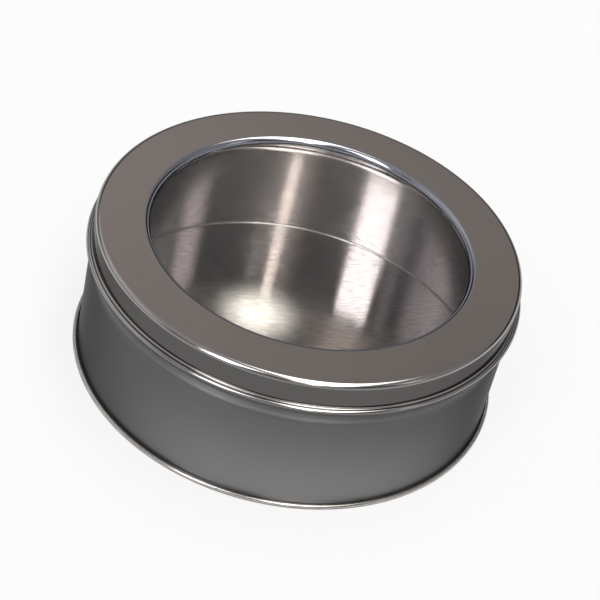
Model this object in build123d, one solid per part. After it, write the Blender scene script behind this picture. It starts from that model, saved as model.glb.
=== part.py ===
from build123d import *
from math import acos, cos, degrees, radians, sin, sqrt
import os

# Round slip-lid tin with a clear window in its lid.
# Millimetres. The origin is the centre of the rest face, and +Z runs up the tin's axis.

# Whole tin
sheet = 0.28  # tinplate thickness of every pressed piece
tin_height = 57.0  # rest face to lid top, lid closed

# Lid
lid_radius = 77.0  # outside of the skirt
lid_height = 12.0  # lid top to the underside of the curl
lid_corner_radius = 2.0  # outside of the rounded shoulder
lid_curl_radius = 1.1  # outside of the curl at the foot of the skirt
lid_curl_turn = 312  # degrees

# Flat ring round the window, and the lip of the window opening: turned down and back outward
ring_width = 15.15  # from the lip's upper bend to the rounded shoulder
lip_bend_radius = 2.1
lip_upright = 0.1  # straight part of the lip
lip_foot_radius = 0.4  # outside of the lip's lower bend
lip_foot_width = 2.4  # lip's face to its free edge

# Clear pane under the lip, and the ring that holds it
pane_thickness = 0.3
pane_grip = 3.85  # pane beyond the lip's face
pane_clearance = 0.35  # pane edge to the ring's step
retainer_setback = 0.4  # the ring's free edge behind the lip's face
retainer_flange = 3.8
retainer_bend_radius = 0.3  # inside of its two bends

# Body wall
wall_setback = 0.1  # wall face inside the skirt's
neck_height = 14.4  # rim top down to the shoulder
shoulder_upper_radius = 0.8
shoulder_lower_radius = 5.2
rim_curl_radius = 0.8  # outside of the curl at the rim
rim_curl_turn = 290  # degrees
lid_fit_clearance = 0.2  # rim curl to skirt, all round
lid_seat_clearance = 0.05  # rim curl to the inside of the lid's rounded shoulder
flange_bend_radius = 0.4
flange_reach = 1.0  # wall face to the flange's edge

# Side seam of the body wall: folded sheet inside, a fine joint line outside
seam_azimuth = 175  # degrees from +X
seam_width = 4.5
seam_layers = 3
seam_end_clearance = 0.8  # seam ends to the floor and to the rim curl
joint_line_width = 0.3
joint_line_depth = 0.1

# Base end
bead_radius = 0.95  # outside of the bead round the foot
bead_slope = 25  # degrees, top of the bead down to the wall
bead_lip_clearance = 0.06  # bead's free edge to the wall
floor_height = 1.5  # rest face to the floor's upper face
countersink_clearance = 0.03  # countersink wall to the body wall
countersink_bend_radius = 0.5
floor_bend_radius = 0.3
flange_clearance = 0.02  # bottom web of the bead to the flange

# Where the pieces meet
lid_underside = tin_height - sheet
foot_underside = tin_height - lip_bend_radius - lip_upright - lip_foot_radius
lip_radius = lid_radius - lid_corner_radius - ring_width - lip_bend_radius
pane_radius = lip_radius + pane_grip
pane_underside = foot_underside - pane_thickness
rim_curl_centre = lid_radius - sheet - lid_fit_clearance - rim_curl_radius

# The rim curl seats inside the lid's rounded shoulder, a little off its centre
corner_room = lid_corner_radius - sheet - rim_curl_radius
seat_rise = sqrt((corner_room - lid_seat_clearance) ** 2 - max(corner_room - lid_fit_clearance, 0) ** 2)
rim_top = tin_height - lid_corner_radius + seat_rise + rim_curl_radius
neck_radius = rim_curl_centre - rim_curl_radius + sheet
wall_radius = lid_radius - wall_setback
wall_inside = wall_radius - sheet
flange_top = 2 * sheet + flange_clearance


# A strip of sheet seen edge on, as a list of moves along its drawn face.
# A run is (length,). A bend is (radius, degrees), with left turns positive.
# The sheet lies to the right of the drawn face.
def strip_face(start, heading, moves, thickness=sheet):
    drawn, far = [], []
    point, angle = Vector(*start), heading
    for move in moves:
        forward = Vector(cos(radians(angle)), sin(radians(angle)))
        right = Vector(forward.Y, -forward.X)
        if len(move) == 1:
            drawn.append(Line(point, point + forward * move[0]))
            far.append(Line(point + right * thickness, point + forward * move[0] + right * thickness))
        else:
            radius, turn = move
            far_radius = radius + thickness if turn > 0 else radius - thickness
            drawn.append(JernArc(point, forward, radius, turn))
            far.append(JernArc(point + right * thickness, forward, far_radius, turn))
            angle += turn
        point = drawn[-1] @ 1
    caps = [Line(drawn[0] @ 0, far[0] @ 0), Line(drawn[-1] @ 1, far[-1] @ 1)]
    return make_face([*drawn, *far, *caps])


# The edge-on face has X as radius and Y as height, and is turned about the tin's axis.
def turned(face, arc=360, first_azimuth=0):
    return revolve(Plane.XZ.rotated((0, 0, first_azimuth)) * face, Axis.Z, arc)


# Lid: lip with its outward foot, flat ring, rounded shoulder, skirt and outward curl
def lid_shell():
    skirt = lid_height - lid_corner_radius - lid_curl_radius
    moves = [
        (lip_foot_width - lip_foot_radius,),
        (lip_foot_radius, -90),
        (lip_upright,),
        (lip_bend_radius, -90),
        (ring_width,),
        (lid_corner_radius, -90),
        (skirt,),
        (lid_curl_radius - sheet, lid_curl_turn),
    ]
    return turned(strip_face((lip_radius + lip_foot_width, foot_underside), 180, moves))


# Pane: a flat clear disc between the lip and its ring
def window_pane():
    pane = Cylinder(pane_radius, pane_thickness, align=(Align.CENTER, Align.CENTER, Align.MIN))
    return Pos(0, 0, pane_underside) * pane


# Retaining ring: flange against the lid's underside, a step down past the pane, a flat under it
def window_retainer():
    outer_bend = retainer_bend_radius + sheet
    step_radius = pane_radius + pane_clearance
    flange_underside = lid_underside - sheet
    plate_underside = pane_underside - sheet
    drop = flange_underside - plate_underside - retainer_bend_radius - outer_bend
    start = (step_radius + sheet + retainer_bend_radius + retainer_flange, flange_underside)
    moves = [
        (retainer_flange,),
        (retainer_bend_radius, 90),
        (drop,),
        (outer_bend, -90),
        (step_radius + sheet - outer_bend - lip_radius - retainer_setback,),
    ]
    return turned(strip_face(start, 180, moves))


# Moves down the outside of the body from the neck to the foot of the wall.
# The shoulder is two bends, one running into the other.
def wall_moves(above, below):
    bends = shoulder_upper_radius + shoulder_lower_radius
    lean = acos(1 - (wall_radius - neck_radius) / bends)
    wall = rim_top - neck_height - bends * sin(lean) - below
    return [
        (neck_height - above,),
        (shoulder_upper_radius, degrees(lean)),
        (shoulder_lower_radius, -degrees(lean)),
        (wall,),
    ]


# The folded side seam stands inward along the wall, shoulder and neck
def side_seam():
    above = 2 * rim_curl_radius + seam_end_clearance
    moves = wall_moves(above, floor_height + seam_end_clearance)
    face = strip_face((neck_radius, rim_top - above), -90, moves, seam_layers * sheet)
    arc = seam_width / radians(wall_inside)
    return turned(face, arc, seam_azimuth - arc / 2)


# The joint line of the seam, cut into the outer face of the wall
def joint_line():
    moves = wall_moves(rim_curl_radius, flange_top + flange_bend_radius)
    face = strip_face((neck_radius, rim_top - rim_curl_radius), -90, moves, joint_line_depth)
    arc = joint_line_width / radians(wall_radius)
    return turned(face, arc, seam_azimuth - arc / 2)


# Body wall: rim curl, neck, shoulder, straight wall and the flange in the base bead
def body_wall():
    curl = rim_curl_radius - sheet
    lead = radians(180 - rim_curl_turn)
    start = (rim_curl_centre + curl * cos(lead), rim_top - rim_curl_radius + curl * sin(lead))
    moves = [
        (curl, rim_curl_turn),
        *wall_moves(rim_curl_radius, flange_top + flange_bend_radius),
        (flange_bend_radius, 90),
        (flange_reach - flange_bend_radius,),
    ]
    shell = turned(strip_face(start, 270 - rim_curl_turn, moves))
    return shell + side_seam() - joint_line()


# Base end: bead rolled round the flange, rest face, countersink wall and floor
def base_end():
    bead_centre = wall_radius + bead_radius
    slope = radians(bead_slope)
    crown = (bead_centre - bead_radius * sin(slope), bead_radius * (1 + cos(slope)))
    reach = crown[0] - wall_radius - bead_lip_clearance
    start = (crown[0] - reach, crown[1] - reach * sin(slope) / cos(slope))
    countersink = wall_inside - countersink_clearance - sheet
    floor_underside = floor_height - sheet
    moves = [
        (reach / cos(slope),),
        (bead_radius, -180 - bead_slope),
        (bead_centre - countersink - countersink_bend_radius,),
        (countersink_bend_radius, -90),
        (floor_underside - countersink_bend_radius - floor_bend_radius,),
        (floor_bend_radius, 90),
        (countersink - floor_bend_radius,),
    ]
    return turned(strip_face(start, bead_slope, moves))


pieces = {
    "lid_shell": lid_shell,
    "window_pane": window_pane,
    "window_retainer": window_retainer,
    "body_wall": body_wall,
    "base_end": base_end,
}

os.makedirs("parts", exist_ok=True)
for name, make in pieces.items():
    export_step(make(), f"parts/{name}.step")
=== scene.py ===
import math

import bmesh
import bpy
from mathutils import Matrix, Vector


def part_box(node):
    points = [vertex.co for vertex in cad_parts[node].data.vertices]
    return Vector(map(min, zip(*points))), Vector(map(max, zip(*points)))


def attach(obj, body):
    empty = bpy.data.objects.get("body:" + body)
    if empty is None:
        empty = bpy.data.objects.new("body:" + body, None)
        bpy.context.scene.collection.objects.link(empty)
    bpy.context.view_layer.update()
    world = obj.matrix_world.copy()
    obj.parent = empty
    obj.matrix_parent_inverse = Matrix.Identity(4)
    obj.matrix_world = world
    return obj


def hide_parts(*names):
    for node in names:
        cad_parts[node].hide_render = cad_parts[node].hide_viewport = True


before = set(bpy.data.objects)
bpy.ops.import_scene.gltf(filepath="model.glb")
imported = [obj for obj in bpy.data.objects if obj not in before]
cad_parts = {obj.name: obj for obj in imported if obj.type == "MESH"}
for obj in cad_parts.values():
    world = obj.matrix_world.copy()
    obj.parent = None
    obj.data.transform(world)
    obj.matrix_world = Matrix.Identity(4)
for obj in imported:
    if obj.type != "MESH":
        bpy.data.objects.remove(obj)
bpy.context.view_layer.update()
print("frame loaded:", sorted(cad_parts))

# Everything below is in metres, in the tin's own frame: the origin is the centre of the rest face.
mm = 0.001
micron = 0.001 * mm

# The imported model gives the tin's outer sizes. The rest is the sheet metal's own bends.
lidLow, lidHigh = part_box("lid_shell")
wallLow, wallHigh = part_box("body_wall")
paneLow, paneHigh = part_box("window_pane")
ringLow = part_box("window_retainer")[0]

metal = {
    "sheet": 0.28 * mm,
    "bendStep": 7.5,  # degrees of a bend between two points of a profile
    "runStep": 7.0 * mm,  # longest stretch of a straight run
    "edgeInset": 0.08 * mm,  # a point beside each bend keeps the flats flat
    "segments": 288,  # round the axis
    "weld": 2 * micron,  # points closer than this become one
}
sheet = metal["sheet"]


# A strip of sheet seen edge on, from runs (length,) and bends (radius, degrees) with left turns positive.
# The sheet lies to the right of the drawn face. Gives its closed outline as (radius, height) points.
def sheetOutline(start, heading, moves, thickness):
    drawn, far = [], []
    x, y = start
    angle = math.radians(heading)

    def station(px, py, direction):
        drawn.append((px, py))
        far.append((px + math.sin(direction) * thickness, py - math.cos(direction) * thickness))

    station(x, y, angle)
    for move in moves:
        if len(move) == 1:
            length = move[0]
            inset = min(metal["edgeInset"], length / 3)
            inner = max(1, math.ceil((length - 2 * inset) / metal["runStep"]))
            stops = [inset + (length - 2 * inset) * i / inner for i in range(inner + 1)] + [length]
            for stop in stops:
                station(x + math.cos(angle) * stop, y + math.sin(angle) * stop, angle)
            x += math.cos(angle) * length
            y += math.sin(angle) * length
        else:
            radius, degrees = move
            turn = math.radians(degrees)
            side = 1 if turn > 0 else -1
            cx, cy = x - math.sin(angle) * radius * side, y + math.cos(angle) * radius * side
            count = max(2, math.ceil(abs(degrees) / metal["bendStep"]))
            for i in range(1, count + 1):
                now = angle + turn * i / count
                station(cx + math.sin(now) * radius * side, cy - math.cos(now) * radius * side, now)
            angle += turn
            x, y = drawn[-1]
    return drawn + far[::-1]


# The directions of a quarter round, in equal steps
def quarterRound(steps):
    return [math.radians(90 * i / steps) for i in range(steps + 1)]


# The turning tree: sweeps a profile round the tin's axis and gives the sheet its faint unevenness
def turningTree():
    tree = bpy.data.node_groups.new("turnedSheet", "GeometryNodeTree")
    face = tree.interface
    face.new_socket("Profile", in_out="INPUT", socket_type="NodeSocketGeometry")
    for name, kind, value in (
        ("Path Radius", "NodeSocketFloat", 0.05),
        ("First Azimuth", "NodeSocketFloat", 0.0),
        ("Sweep", "NodeSocketFloat", math.tau),
        ("Segments", "NodeSocketInt", 96),
        ("Full Turn", "NodeSocketBool", True),
        ("Capped", "NodeSocketBool", False),
        ("Unevenness", "NodeSocketFloat", 0.0),
        ("Uneven Every", "NodeSocketFloat", 0.05),
        ("Seed", "NodeSocketFloat", 0.0),
        ("Finish", "NodeSocketMaterial", None),
    ):
        socket = face.new_socket(name, in_out="INPUT", socket_type=kind)
        if value is not None:
            socket.default_value = value
    face.new_socket("Sheet", in_out="OUTPUT", socket_type="NodeSocketGeometry")

    def node(kind, settings=None, inputs=None):
        made = tree.nodes.new(kind)
        for key, value in (settings or {}).items():
            setattr(made, key, value)
        for key, value in (inputs or {}).items():
            if isinstance(value, bpy.types.NodeSocket):
                tree.links.new(value, made.inputs[key])
            else:
                made.inputs[key].default_value = value
        return made

    given = node("NodeGroupInput").outputs
    path = node("GeometryNodeCurveArc", {"mode": "RADIUS"}, {
        "Resolution": given["Segments"], "Radius": given["Path Radius"],
        "Start Angle": given["First Azimuth"], "Sweep Angle": given["Sweep"],
    })
    circle = node("GeometryNodeCurvePrimitiveCircle", {"mode": "RADIUS"}, {
        "Resolution": given["Segments"], "Radius": given["Path Radius"],
    })
    chosen = node("GeometryNodeSwitch", {"input_type": "GEOMETRY"}, {
        "Switch": given["Full Turn"], "False": path.outputs["Curve"], "True": circle.outputs["Curve"],
    })
    upright = node("GeometryNodeSetCurveNormal", {"mode": "Z_UP"}, {"Curve": chosen.outputs["Output"]})
    swept = node("GeometryNodeCurveToMesh", None, {
        "Curve": upright.outputs["Curve"], "Profile Curve": given["Profile"], "Fill Caps": given["Capped"],
    })
    welded = node("GeometryNodeMergeByDistance", None, {
        "Geometry": swept.outputs["Mesh"], "Distance": metal["weld"],
    })
    place = node("GeometryNodeInputPosition")
    spread = node("ShaderNodeMath", {"operation": "DIVIDE"}, {0: 1.0, 1: given["Uneven Every"]})
    waves = node("ShaderNodeTexNoise", {"noise_dimensions": "4D"}, {
        "Vector": place.outputs["Position"], "W": given["Seed"], "Scale": spread.outputs[0],
        "Detail": 1.0, "Roughness": 0.4,
    })
    depth = node("ShaderNodeMath", {"operation": "MULTIPLY"}, {
        0: waves.outputs["Fac"], 1: given["Unevenness"],
    })
    lift = node("ShaderNodeCombineXYZ", None, {"Z": depth.outputs[0]})
    moved = node("GeometryNodeSetPosition", None, {
        "Geometry": welded.outputs["Geometry"], "Offset": lift.outputs["Vector"],
    })
    smooth = node("GeometryNodeSetShadeSmooth", None, {"Geometry": moved.outputs["Geometry"]})
    real = node("GeometryNodeRealizeInstances", None, {"Geometry": smooth.outputs["Geometry"]})
    painted = node("GeometryNodeSetMaterial", None, {
        "Geometry": real.outputs["Geometry"], "Material": given["Finish"],
    })
    out = node("NodeGroupOutput")
    tree.links.new(painted.outputs["Geometry"], out.inputs["Sheet"])
    return tree


turning = turningTree()


# One turned piece: its outline becomes a curve, the tree turns it, and the result is kept as a plain mesh
def turnPiece(name, outline, finish, closed=True, firstAzimuth=0.0, sweep=360.0, **settings):
    pathRadius = max(r for r, z in outline)
    curve = bpy.data.curves.new(name + ".profile", "CURVE")
    curve.dimensions = "3D"
    line = curve.splines.new("POLY")
    line.points.add(len(outline) - 1)
    for point, (r, z) in zip(line.points, outline):
        point.co = (r - pathRadius, -z, 0, 1)
    line.use_cyclic_u = closed
    holder = bpy.data.objects.new(name + ".profile", curve)
    bpy.context.scene.collection.objects.link(holder)

    values = {
        "Path Radius": pathRadius, "First Azimuth": math.radians(firstAzimuth),
        "Sweep": math.radians(sweep), "Segments": metal["segments"], "Finish": finish,
    }
    values.update(settings)
    modifier = holder.modifiers.new("turned", "NODES")
    modifier.node_group = turning
    for item in turning.interface.items_tree:
        if item.in_out == "INPUT" and item.name in values:
            modifier[item.identifier] = values[item.name]
    graph = bpy.context.evaluated_depsgraph_get()
    graph.update()
    mesh = bpy.data.meshes.new_from_object(holder.evaluated_get(graph), depsgraph=graph)
    holder.modifiers.remove(modifier)
    bpy.data.objects.remove(holder)

    work = bmesh.new()
    work.from_mesh(mesh)
    bmesh.ops.remove_doubles(work, verts=work.verts, dist=metal["weld"])
    bmesh.ops.recalc_face_normals(work, faces=work.faces)
    for f in work.faces:
        f.smooth = True
    work.to_mesh(mesh)
    work.free()
    mesh.name = name
    piece = bpy.data.objects.new(name, mesh)
    bpy.context.scene.collection.objects.link(piece)
    print("turned", name, len(mesh.vertices), "points", len(mesh.polygons), "faces")
    return piece


# Shader maths: a wire is one socket of a tree, and sums on wires add Math nodes
class Wire:
    def __init__(self, paint, socket):
        self.paint = paint
        self.socket = socket

    def maths(self, operation, *values):
        return self.paint.node("ShaderNodeMath", {"operation": operation}, dict(enumerate(values)))

    def __add__(self, other):
        return self.maths("ADD", self, other)

    __radd__ = __add__

    def __sub__(self, other):
        return self.maths("SUBTRACT", self, other)

    def __rsub__(self, other):
        return self.maths("SUBTRACT", other, self)

    def __mul__(self, other):
        return self.maths("MULTIPLY", self, other)

    __rmul__ = __mul__

    def __truediv__(self, other):
        return self.maths("DIVIDE", self, other)

    def __neg__(self):
        return self.maths("MULTIPLY", self, -1.0)

    def size(self):
        return self.maths("ABSOLUTE", self)

    def root(self):
        return self.maths("SQRT", self)

    def most(self, other):
        return self.maths("MAXIMUM", self, other)

    # Gives 0 below low and 1 above high, with a smooth step between
    def ramp(self, low, high):
        return self.paint.node("ShaderNodeMapRange", {"interpolation_type": "SMOOTHSTEP"}, {
            "Value": self, "From Min": low, "From Max": high,
        })


# A material's or the world's node tree
class Paint:
    def __init__(self, tree):
        self.tree = tree
        tree.nodes.clear()

    def node(self, kind, settings=None, inputs=None, output=0):
        made = self.tree.nodes.new(kind)
        for key, value in (settings or {}).items():
            setattr(made, key, value)
        for key, value in (inputs or {}).items():
            if isinstance(value, Wire):
                self.tree.links.new(value.socket, made.inputs[key])
            else:
                made.inputs[key].default_value = value
        return Wire(self, made.outputs[output]) if made.outputs else None

    def split(self, vector):
        made = self.node("ShaderNodeSeparateXYZ", None, {"Vector": vector}).socket.node
        return [Wire(self, made.outputs[i]) for i in range(3)]

    def stretch(self, vector, scale):
        return self.node("ShaderNodeVectorMath", {"operation": "MULTIPLY"}, {0: vector, 1: scale})

    def noise(self, vector, scale, **inputs):
        return self.node("ShaderNodeTexNoise", None, {"Vector": vector, "Scale": scale, **inputs})

    def mixColour(self, factor, first, second):
        return self.node("ShaderNodeMix", {"data_type": "RGBA"}, {0: factor, 6: first, 7: second}, 2)

    def tone(self, colour, level):
        return self.node("ShaderNodeVectorMath", {"operation": "SCALE"}, {0: colour, "Scale": level})


def newFinish(name):
    material = bpy.data.materials.new(name)
    material.use_nodes = True
    return material, Paint(material.node_tree)


facing = {
    "flatFrom": 0.55, "flatTo": 0.85,  # upright share of the normal, from wall to flat
    "axisClear": 1.0 * mm,  # least radius that the outward sum divides by
}


# Where a point of the sheet is and how it faces, as wires
class Spot:
    def __init__(self, paint):
        self.place = paint.node("ShaderNodeTexCoord", output="Object")
        self.x, self.y, self.z = paint.split(self.place)
        self.nx, self.ny, self.nz = paint.split(paint.node("ShaderNodeTexCoord", output="Normal"))
        self.radius = (self.x * self.x + self.y * self.y).root()
        self.outward = (self.x * self.nx + self.y * self.ny) / self.radius.most(facing["axisClear"])
        self.flat = self.nz.size().ramp(facing["flatFrom"], facing["flatTo"])


# Tinplate: a rolled sheet with a fine brushing, straight on flats and round the axis on walls
def tinplate(name, tint, shade):
    material, paint = newFinish(name)
    spot = Spot(paint)
    along, across = tint["grainAlong"], tint["grainAcross"]
    turned = paint.node("ShaderNodeVectorRotate", {"rotation_type": "Z_AXIS"}, {
        "Vector": spot.place, "Angle": math.radians(-tint["grainTurn"]),
    })
    fine = {"Detail": tint["grainDetail"], "Roughness": tint["grainSoft"]}
    flatGrain = paint.noise(paint.stretch(turned, (along, across, 0.0)), 1.0, **fine)
    wallGrain = paint.noise(paint.stretch(spot.place, (along, along, across)), 1.0, **fine)
    grain = flatGrain * spot.flat + wallGrain * (1 - spot.flat)
    cloud = paint.noise(spot.place, tint["cloudScale"], Detail=tint["cloudDetail"])

    level, rough, colour, contrast = shade(paint, spot, tint)
    level = level * (1 + tint["cloudShare"] * (cloud - 0.5)) * (1 + contrast * (grain - 0.5))
    rough = rough + tint["cloudRough"] * (cloud - 0.5) + tint["grainRough"] * (grain - 0.5)
    ridges = paint.node("ShaderNodeBump", None, {
        "Strength": 1.0, "Distance": tint["grainDepth"], "Height": grain,
    })
    # The sheen has two widths: the main one, and a fainter broad one that only the base shows
    sharp, broad = (paint.node("ShaderNodeBsdfPrincipled", None, {
        "Base Color": paint.tone(colour, level), "Metallic": 1.0,
        "Roughness": rough + more, "Normal": ridges,
        "Anisotropic": tint["anisotropic"], "Anisotropic Rotation": tint["sheenTurn"],
        "Specular Tint": (tint["edge"], tint["edge"], tint["edge"], 1.0),
    }) for more in (0.0, tint["broadRough"]))
    sheen = paint.node("ShaderNodeMixShader", None, {0: tint["broadShare"], 1: sharp, 2: broad})
    paint.node("ShaderNodeOutputMaterial", None, {"Surface": sheen})
    return material


# Each shade gives level, roughness, colour and the grain's contrast.
# On the lid, outward faces that look down or level get painted shade and are greyer, save the bright
# crease above the curl, which the painted shade leaves out.
def lidShade(paint, spot, tint):
    outside = spot.outward.ramp(0.0, tint["outsideFull"])
    # Painted shade: greys the outward faces that look down or level
    side = (1 - spot.nz.ramp(tint["greyBelow"], tint["brightAbove"])) * outside
    creaseEnd = 1 - spot.z.ramp(tint["creaseLow"], tint["creaseHigh"])
    crease = spot.z.ramp(tint["curlTop"], tint["creaseLow"]) * creaseEnd
    lip = 1 - spot.radius.ramp(tint["lipInner"], tint["lipOuter"])
    colour = paint.mixColour(outside, tint["colour"], tint["sideColour"])
    colour = paint.mixColour(lip, colour, tint["lipColour"])
    return 1 - tint["sideShare"] * side * (1 - crease), tint["rough"], colour, tint["grainShare"]


# The body's outside is greyer than its bright inside, as painted shade, and palest at the front and
# towards the foot, as painted light; the outer shoulder gets a painted highlight and the neck inside
# painted light
def bodyShade(paint, spot, tint):
    inside = (-spot.outward).ramp(tint["insideFrom"], tint["insideTo"])
    # Painted light and shade: paler at the front and towards the foot, darker at the sides
    foot = spot.z.ramp(tint["gradeHigh"], tint["gradeLow"])
    ahead = tint["frontRight"] * spot.nx - tint["frontNear"] * spot.ny
    front = ahead.ramp(tint["frontFrom"], tint["frontTo"])
    outer = tint["sideLevel"] + front * (1 - tint["sideLevel"] + tint["gradeShare"] * (2 * foot - 1))
    # Painted highlight: the outer shoulder, where it faces up, is lifted
    shoulder = spot.nz.ramp(tint["shoulderFrom"], tint["shoulderTo"]) * (1 - inside)
    outer = outer + tint["shoulderShare"] * shoulder
    # Painted light: the inside of the neck is brighter
    neck = spot.z.ramp(tint["neckLow"], tint["neckHigh"])
    level = outer * (1 - inside) + inside * (tint["insideShare"] * (1 + tint["neckShare"] * neck))
    rough = tint["rough"] + inside * (tint["insideRough"] - tint["rough"])
    rough = rough + tint["shoulderRough"] * shoulder
    colour = paint.mixColour(inside, tint["colour"], tint["insideColour"])
    return level, rough, colour, tint["grainShare"] * (1 - inside) + tint["insideGrain"] * inside


# On the base, only the bead's side is greyer, as painted shade
def baseShade(paint, spot, tint):
    bead = (1 - spot.flat) * spot.radius.ramp(tint["beadInner"], tint["beadOuter"])
    bead = bead * (1 - spot.nz.ramp(0.0, tint["beadTop"]))
    return 1 - tint["beadShare"] * bead, tint["rough"], tint["colour"], tint["grainShare"]


# The retaining ring is the same all over, in a tinplate painted paler than the lid's: painted light that
# brightens its reflection on the tin's floor
def ringShade(paint, spot, tint):
    return 1.0, tint["rough"], tint["colour"], tint["grainShare"]


# The pane shows as a thin reflecting film: faint face on, stronger at a slant, with a slight haze
def clearPane(name, look):
    material, paint = newFinish(name)
    place = paint.node("ShaderNodeTexCoord", output="Object")
    slant = paint.node("ShaderNodeLayerWeight", None, {"Blend": 0.5}, "Facing")
    gloss = look["gloss"] + look["edgeGloss"] * slant.maths("POWER", slant, look["edgePower"])
    haze = paint.noise(place, look["hazeScale"], Detail=look["hazeDetail"])
    film = paint.node("ShaderNodeBsdfPrincipled", None, {
        "Base Color": look["colour"], "Metallic": 1.0,
        "Roughness": look["rough"] + look["hazeRough"] * haze,
        "Alpha": gloss + look["haze"] * haze,
    })
    paint.node("ShaderNodeOutputMaterial", None, {"Surface": film})
    return material


# What the tinplates share. Scales are waves per metre, and shares are parts of the level.
grain = {
    "grainAlong": 230.0, "grainAcross": 1300.0, "grainTurn": 18.0, "grainDepth": 0.3 * micron,
    "grainShare": 0.08, "grainRough": 0.05, "grainDetail": 1.0, "grainSoft": 0.4,
    "cloudScale": 40.0, "cloudShare": 0.05, "cloudRough": 0.06, "cloudDetail": 2.0,
    "edge": 0.5, "sheenTurn": 0.25, "broadShare": 0.0, "broadRough": 0.2,
}
lidTint = {
    **grain, "colour": (0.515, 0.452, 0.418, 1), "rough": 0.11, "anisotropic": 0.2,
    # sideShare is how deep the painted shade on the lid's down and level outward faces is
    "sideColour": (0.5, 0.485, 0.475, 1), "sideShare": 0.78, "outsideFull": 0.3,
    "greyBelow": 0.2, "brightAbove": 0.5,  # upright share of the normal
    "curlTop": 46.9 * mm, "creaseLow": 47.2 * mm, "creaseHigh": 48.0 * mm,
    "lipColour": (0.46, 0.47, 0.52, 1), "lipInner": 59.3 * mm, "lipOuter": 60.1 * mm,
}
# The body's low outside colour and levels are painted shade; insideShare lifts the inside to its own
# bright tinplate
bodyTint = {
    **grain, "colour": (0.18, 0.18, 0.1835, 1), "rough": 0.3, "anisotropic": 0.85, "edge": 0.36,
    "gradeShare": 0.26, "gradeHigh": 42.0 * mm, "gradeLow": 4.0 * mm, "sideLevel": 0.74,
    # frontRight and frontNear aim at the side painted palest
    "frontRight": 0.26, "frontNear": 0.966, "frontFrom": 0.45, "frontTo": 1.05,  # the palest side
    "shoulderShare": 1.3, "shoulderRough": 0.3, "shoulderFrom": 0.3, "shoulderTo": 0.55,
    "insideFrom": 0.1, "insideTo": 0.5, "insideShare": 3.35, "insideRough": 0.095, "insideGrain": 0.25,
    "insideColour": (0.187, 0.175, 0.176, 1),
    "neckShare": 0.45, "neckLow": 40.0 * mm, "neckHigh": 42.5 * mm,
}
baseTint = {
    **grain, "colour": (0.61, 0.58, 0.55), "rough": 0.15, "anisotropic": 0.0,
    "broadShare": 0.2, "broadRough": 0.24, "grainDepth": 3.0 * micron, "grainShare": 0.7,
    "beadShare": 0.5, "beadInner": 76.95 * mm, "beadOuter": 77.1 * mm, "beadTop": 0.4,
}
# The retaining ring's pale colour is painted light
ringTint = {**grain, "colour": (0.88, 0.85, 0.78), "rough": 0.3, "anisotropic": 0.0}
paneLook = {
    "colour": (0.9, 0.94, 0.98, 1), "rough": 0.04, "gloss": 0.02, "edgeGloss": 0.7, "edgePower": 5.0,
    "haze": 0.01, "hazeScale": 60.0, "hazeDetail": 3.0, "hazeRough": 0.02,
}

lidFinish = tinplate("lidTinplate", lidTint, lidShade)
ringFinish = tinplate("innerTinplate", ringTint, ringShade)
bodyFinish = tinplate("bodyTinplate", bodyTint, bodyShade)
baseFinish = tinplate("baseTinplate", baseTint, baseShade)
paneFinish = clearPane("clearPane", paneLook)
print("finishes made")

# Lid
lid = {
    "corner": 2.0 * mm, "curl": 1.1 * mm, "curlTurn": 312, "ringWidth": 15.15 * mm,
    "lipBend": 2.1 * mm, "lipUpright": 0.1 * mm, "lipFoot": 0.4 * mm, "lipFootWidth": 2.4 * mm,
    "uneven": {"Unevenness": -15 * micron, "Seed": 1.0},
}
lidTop = lidHigh.z
lidRadius = min(-lidLow.x, lidHigh.x) - 2 * lid["curl"] + sheet
lipRadius = lidRadius - lid["corner"] - lid["ringWidth"] - lid["lipBend"]
footUnder = lidTop - lid["lipBend"] - lid["lipUpright"] - lid["lipFoot"]


def lidOutline():
    skirt = lidTop - lidLow.z - lid["corner"] - lid["curl"]
    moves = [
        (lid["lipFootWidth"] - lid["lipFoot"],), (lid["lipFoot"], -90), (lid["lipUpright"],),
        (lid["lipBend"], -90), (lid["ringWidth"],), (lid["corner"], -90), (skirt,),
        (lid["curl"] - sheet, lid["curlTurn"]),
    ]
    return sheetOutline((lipRadius + lid["lipFootWidth"], footUnder), 180, moves, sheet)


lidPiece = turnPiece("lidShell", lidOutline(), lidFinish, **lid["uneven"])
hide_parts("lid_shell")
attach(lidPiece, "lid")

# Thin fillet where the curl's top meets the skirt
curlFill = {"radius": 0.5 * mm, "sunk": 0.06 * mm, "steps": 12}


def curlFillOutline():
    radius = curlFill["radius"]
    low = lidLow.z + 2 * lid["curl"] - curlFill["sunk"]
    hollow = [
        (lidRadius + radius * (1 - math.cos(turn)), low + radius * (1 - math.sin(turn)))
        for turn in quarterRound(curlFill["steps"])
    ]
    return hollow + [(lidRadius - sheet / 2, low)]


curlFillPiece = turnPiece("curlFill", curlFillOutline(), lidFinish)
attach(curlFillPiece, "lid")

# Pane
pane = {"edgeRound": 0.08 * mm, "rings": (0, 0.25, 0.5, 0.75, 0.95)}  # rings are shares of its radius


def paneOutline():
    low, high, wide = paneLow.z, paneHigh.z, paneHigh.x
    soft = pane["edgeRound"]
    steps = [wide * share for share in pane["rings"]]
    under = [(r, low) for r in steps] + [(wide - soft, low), (wide, low + soft)]
    over = [(wide, high - soft), (wide - soft, high)] + [(r, high) for r in reversed(steps)]
    return under + over


panePiece = turnPiece("windowPane", paneOutline(), paneFinish, closed=False)
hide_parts("window_pane")
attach(panePiece, "lid")

# Retaining ring
retainer = {"flange": 3.8 * mm, "bend": 0.3 * mm, "paneGap": 0.35 * mm, "setback": 0.4 * mm}


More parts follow.
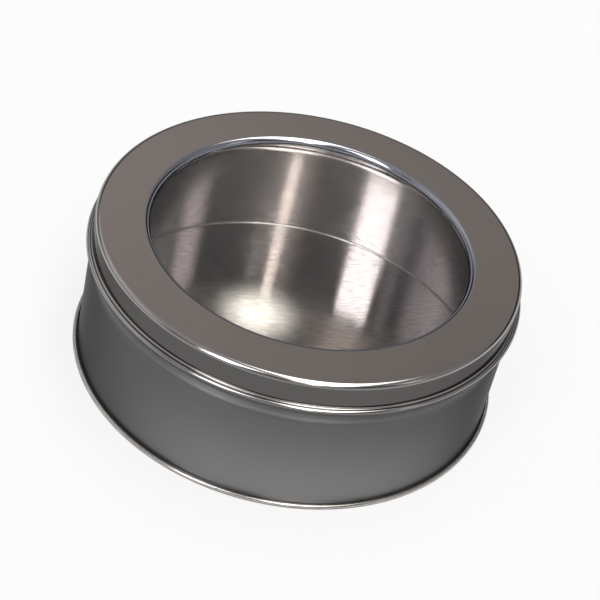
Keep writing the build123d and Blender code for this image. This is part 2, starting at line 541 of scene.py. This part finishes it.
def retainerOutline():
    bend = retainer["bend"]
    outer = bend + sheet
    step = paneHigh.x + retainer["paneGap"]
    flangeUnder = lidTop - 2 * sheet
    drop = flangeUnder - ringLow.z - bend - outer
    moves = [
        (retainer["flange"],), (bend, 90), (drop,), (outer, -90),
        (step + sheet - outer - lipRadius - retainer["setback"],),
    ]
    return sheetOutline((step + sheet + bend + retainer["flange"], flangeUnder), 180, moves, sheet)


retainerPiece = turnPiece("windowRetainer", retainerOutline(), ringFinish)
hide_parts("window_retainer")
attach(retainerPiece, "lid")

# Body wall and its side seam
body = {
    "setback": 0.1 * mm, "neckHeight": 14.4 * mm, "shoulderUpper": 0.8 * mm, "shoulderLower": 5.2 * mm,
    "rimCurl": 0.8 * mm, "rimTurn": 290, "fit": 0.2 * mm, "flangeBend": 0.4 * mm, "flangeReach": 1.0 * mm,
    "seamAzimuth": 175.0, "seamWidth": 4.5 * mm, "seamLayers": 2, "seamGap": 0.3 * mm, "seamEnd": 0.1 * mm,
    "seamSegments": 8,
}
wallRadius = lidRadius - body["setback"]
rimTop = wallHigh.z
rimCentre = lidRadius - sheet - body["fit"] - body["rimCurl"]
neckRadius = rimCentre - body["rimCurl"] + sheet
floorTop = 1.5 * mm  # the tin's own floor, above the rest face


# Moves down a face of the wall that lies inset from its outer face
def wallMoves(above, below, inset=0.0):
    bends = body["shoulderUpper"] + body["shoulderLower"]
    lean = math.acos(1 - (wallRadius - neckRadius) / bends)
    turn = math.degrees(lean)
    return [
        (body["neckHeight"] - above,),
        (body["shoulderUpper"] + inset, turn), (body["shoulderLower"] - inset, -turn),
        (rimTop - body["neckHeight"] - bends * math.sin(lean) - below,),
    ]


def bodyOutline():
    curl = body["rimCurl"] - sheet
    lead = math.radians(180 - body["rimTurn"])
    start = (rimCentre + curl * math.cos(lead), rimTop - body["rimCurl"] + curl * math.sin(lead))
    moves = [
        (curl, body["rimTurn"]), *wallMoves(body["rimCurl"], wallLow.z + sheet + body["flangeBend"]),
        (body["flangeBend"], 90), (body["flangeReach"] - body["flangeBend"],),
    ]
    return sheetOutline(start, 270 - body["rimTurn"], moves, sheet)


def seamOutline():
    above = 2 * body["rimCurl"] + body["seamEnd"]
    moves = wallMoves(above, floorTop + body["seamEnd"], sheet)
    start = (neckRadius - sheet, rimTop - above)
    return sheetOutline(start, -90, moves, body["seamLayers"] * sheet)


gapAngle = math.degrees(body["seamGap"] / wallRadius)
seamAngle = math.degrees(body["seamWidth"] / wallRadius)
bodyPiece = turnPiece(
    "bodyWall", bodyOutline(), bodyFinish, firstAzimuth=body["seamAzimuth"] + gapAngle / 2,
    sweep=360 - gapAngle, **{"Full Turn": False, "Capped": True},
)
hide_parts("body_wall")
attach(bodyPiece, "tin")
seamPiece = turnPiece(
    "bodySeam", seamOutline(), bodyFinish, firstAzimuth=body["seamAzimuth"] - seamAngle / 2,
    sweep=seamAngle, **{"Full Turn": False, "Capped": True, "Segments": body["seamSegments"]},
)
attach(seamPiece, "tin")

# Base end
base = {
    "bead": 0.95 * mm, "slope": 25, "lipGap": 0.06 * mm, "countersinkGap": 0.03 * mm,
    "countersinkBend": 0.5 * mm, "floorBend": 0.3 * mm,
    "uneven": {"Unevenness": 25 * micron, "Seed": 4.0},
}


def baseOutline():
    bead = base["bead"]
    centre = wallRadius + bead
    slope = math.radians(base["slope"])
    crown = (centre - bead * math.sin(slope), bead * (1 + math.cos(slope)))
    reach = crown[0] - wallRadius - base["lipGap"]
    start = (crown[0] - reach, crown[1] - reach * math.tan(slope))
    countersink = wallRadius - 2 * sheet - base["countersinkGap"]
    moves = [
        (reach / math.cos(slope),), (bead, -180 - base["slope"]),
        (centre - countersink - base["countersinkBend"],), (base["countersinkBend"], -90),
        (floorTop - sheet - base["countersinkBend"] - base["floorBend"],), (base["floorBend"], 90),
        (countersink - base["floorBend"],),
    ]
    return sheetOutline(start, base["slope"], moves, sheet)


# The outline starts at the bead's lip and crosses the axis in its middle, so it is opened there
def openedAtAxis(outline):
    half = len(outline) // 2
    return outline[half:] + outline[:half]


basePiece = turnPiece("baseEnd", openedAtAxis(baseOutline()), baseFinish, closed=False, **base["uneven"])
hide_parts("base_end")
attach(basePiece, "tin")

# Thin fillet of sealant where the floor meets the wall
seal = {"radius": 0.7 * mm, "sunk": 0.1 * mm, "steps": 12}


def sealOutline():
    radius = seal["radius"]
    wallInside, low = wallRadius - sheet, floorTop - seal["sunk"]
    middle = wallInside - radius
    hollow = [
        (middle + radius * math.sin(turn), floorTop + radius - radius * math.cos(turn))
        for turn in quarterRound(seal["steps"])
    ]
    return hollow + [(wallInside, low), (middle, low)]


sealPiece = turnPiece("floorSeal", sealOutline(), baseFinish)
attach(sealPiece, "tin")
print("pieces made")

# Floor of the studio: nearly white where the camera or the metal sees it, a pale grey for the light
floorLook = {
    "half": 6.0, "albedo": 0.88, "white": 0.8,
    "cloudScale": 3.0, "cloudDetail": 2.0, "cloudShare": 0.01,
}
floorMaterial, floorPaint = newFinish("paleFloor")
floorPlace = floorPaint.node("ShaderNodeTexCoord", output="Object")
floorCloud = floorPaint.noise(floorPlace, floorLook["cloudScale"], Detail=floorLook["cloudDetail"])
floorTone = floorLook["albedo"] * (1 + floorLook["cloudShare"] * (floorCloud - 0.5))
floorSkin = floorPaint.node("ShaderNodeBsdfDiffuse", None, {
    "Color": floorPaint.tone((1.0, 1.0, 1.0), floorTone),
})
floorGlow = floorPaint.node("ShaderNodeEmission", None, {"Color": (1.0, 1.0, 1.0, 1.0), "Strength": 1.0})
seen = sum(floorPaint.node("ShaderNodeLightPath", output=ray) for ray in (
    "Is Camera Ray", "Is Glossy Ray", "Is Transmission Ray"))
floorCover = floorPaint.node("ShaderNodeMixShader", None, {
    0: seen * floorLook["white"], 1: floorSkin, 2: floorGlow,
})
floorPaint.node("ShaderNodeOutputMaterial", None, {"Surface": floorCover})
half = floorLook["half"]
floorCorners = [(-half, -half, 0), (half, -half, 0), (half, half, 0), (-half, half, 0)]
floorMesh = bpy.data.meshes.new("floor")
floorMesh.from_pydata(floorCorners, [], [(0, 1, 2, 3)])
floorMesh.materials.append(floorMaterial)
floor = bpy.data.objects.new("floor", floorMesh)
bpy.context.scene.collection.objects.link(floor)

# Studio light: a soft surround with softboxes. Azimuths run from +Y towards +X, in degrees.
# Ramps go by a share of the view direction: up, to the front, rear or left, or towards a panel.
studio = {
    "level": 0.345, "horizon": 0.6, "horizonRamp": (0.05, 0.2),
    "dark": 0.035, "frontDark": (0.45, 0.54, 0.68, 0.78), "rearDark": (0.18, 0.26, 0.48, 0.55),
    "frontRamp": (0.0, 0.35), "rearRamp": (0.1, 0.5), "rearFall": 0.05, "fallRamp": (0.58, 0.66),
    "sideGlow": 0.05, "sideRamp": (-0.16, 0.16),
    "aheadLeast": 0.01, "aheadRamp": (0.0, 0.1),  # keeps a panel off the opposite side
    "panels": [  # name, centre, what its upper edge points to, width, height, colour, soft edge
        ("overheadStrip", (108, 77.5), (3, 50), 20, 76, (4.0, 3.95, 3.8), 0.05),
        ("frontLeft", (212.5, 50), (212.5, 90), 15.5, 43, (4.0, 4.0, 4.1), 0.022),
        ("frontRightCore", (161.8, 33.5), (161.8, 90), 4.6, 10.0, (3.6, 3.45, 3.3), 0.02),
        ("frontRightLow", (160.0, 39.4), (160.0, 90), 3.6, 2.8, (2.2, 2.1, 1.95), 0.02),
        ("frontRightHalo", (164, 35), (164, 90), 12, 15, (0.55, 0.5, 0.44), 0.105),
        ("right", (107.5, 38), (107.5, 90), 10, 16, (0.92, 0.85, 0.88), 0.05),
        ("left", (257, 38), (257, 90), 20, 16, (0.42, 0.38, 0.42), 0.07),
        ("leftFar", (231, 38), (231, 90), 5, 12, (0.25, 0.22, 0.25), 0.05),
        ("leftBack", (303, 36), (303, 90), 40, 34, (0.28, 0.28, 0.27), 0.2),
    ],
}


def towards(azimuth, elevation):
    a, e = math.radians(azimuth), math.radians(elevation)
    return Vector((math.sin(a) * math.cos(e), math.cos(a) * math.cos(e), math.sin(e)))


world = bpy.data.worlds.new("studio")
bpy.context.scene.world = world
world.use_nodes = True
sky = Paint(world.node_tree)
look = sky.node("ShaderNodeTexCoord", output="Generated")
sx, sy, sz = sky.split(look)


# A band between two heights, with soft edges
def heightBand(low, lowFull, highFull, high):
    return sz.ramp(low, lowFull) * (1 - sz.ramp(highFull, high))


# The dark bands lie higher in front and lower behind
rearward = sy.ramp(*studio["rearRamp"])
frontDark = heightBand(*studio["frontDark"]) * (-sy).ramp(*studio["frontRamp"])
rearDark = heightBand(*studio["rearDark"]) * rearward
level = studio["level"] + studio["sideGlow"] * (2 * (-sx).ramp(*studio["sideRamp"]) - 1)
level = level - studio["rearFall"] * sz.ramp(*studio["fallRamp"]) * rearward
level = level + (studio["dark"] - level) * frontDark.most(rearDark)
level = studio["horizon"] + (level - studio["horizon"]) * sz.ramp(*studio["horizonRamp"])
total = sky.tone((1.0, 1.0, 1.0), level)
for name, centre, above, wide, high, strength, soft in studio["panels"]:
    ahead = towards(*centre)
    upward = towards(*above)
    upward = (upward - ahead * upward.dot(ahead)).normalized()
    along, across, upon = (
        sky.node("ShaderNodeVectorMath", {"operation": "DOT_PRODUCT"}, {0: look, 1: v}, 1)
        for v in (ahead, ahead.cross(upward), upward)
    )
    front = along.most(studio["aheadLeast"])
    halfWide, halfHigh = math.tan(math.radians(wide / 2)), math.tan(math.radians(high / 2))
    besides = (across / front).size().ramp(halfWide - soft, halfWide + soft)
    beyond = (upon / front).size().ramp(halfHigh - soft, halfHigh + soft)
    mask = (1 - besides) * (1 - beyond) * along.ramp(*studio["aheadRamp"])
    total = sky.node("ShaderNodeVectorMath", {"operation": "ADD"}, {0: total, 1: sky.tone(strength, mask)})
glow = sky.node("ShaderNodeBackground", None, {"Color": total, "Strength": 1.0})
sky.node("ShaderNodeOutputWorld", None, {"Surface": glow})

# A narrow beam from behind, through the window, makes the bright patch on the tin's floor
beam = {
    "azimuth": 354.0, "elevation": 72.0, "distance": 0.6, "aim": (-13.2 * mm, 18.5 * mm, floorTop),
    "watts": 128.0, "cone": 2.9, "blend": 1.0, "size": 7.0 * mm, "colour": (1.0, 0.99, 0.93),
}
lamp = bpy.data.lights.new("windowBeam", "SPOT")
lamp.energy = beam["watts"]
lamp.color = beam["colour"]
lamp.spot_size = math.radians(beam["cone"])
lamp.spot_blend = beam["blend"]
lamp.shadow_soft_size = beam["size"]
beamLamp = bpy.data.objects.new("windowBeam", lamp)
bpy.context.scene.collection.objects.link(beamLamp)
beamLine = towards(beam["azimuth"], beam["elevation"])
beamLamp.location = Vector(beam["aim"]) + beamLine * beam["distance"]
beamLamp.rotation_euler = (-beamLine).to_track_quat("-Z", "Y").to_euler()
print("studio lit")

# Camera at the photograph's view
shot = {
    "distance": 0.6646, "elevation": 37.3445, "roll": 13.933, "focalPixels": 1873.05,
    "imagePixels": 600, "sensor": 36.0, "aim": (1.19 * mm, 0.0, 27.5 * mm), "clip": (0.01, 50.0),
}
tilt = math.radians(shot["elevation"])
lens = bpy.data.cameras.new("camera")
lens.sensor_width = shot["sensor"]
lens.lens = shot["focalPixels"] * shot["sensor"] / shot["imagePixels"]
lens.clip_start, lens.clip_end = shot["clip"]
camera = bpy.data.objects.new("camera", lens)
bpy.context.scene.collection.objects.link(camera)
camera.location = Vector((0, -math.cos(tilt), math.sin(tilt))) * shot["distance"] + Vector((0, 0, lidTop))
gaze = (Vector(shot["aim"]) - camera.location).to_track_quat("-Z", "Y").to_matrix()
camera.rotation_euler = (gaze @ Matrix.Rotation(math.radians(shot["roll"]), 3, "Z")).to_euler()
bpy.context.scene.camera = camera
bpy.context.scene.view_settings.view_transform = "Standard"
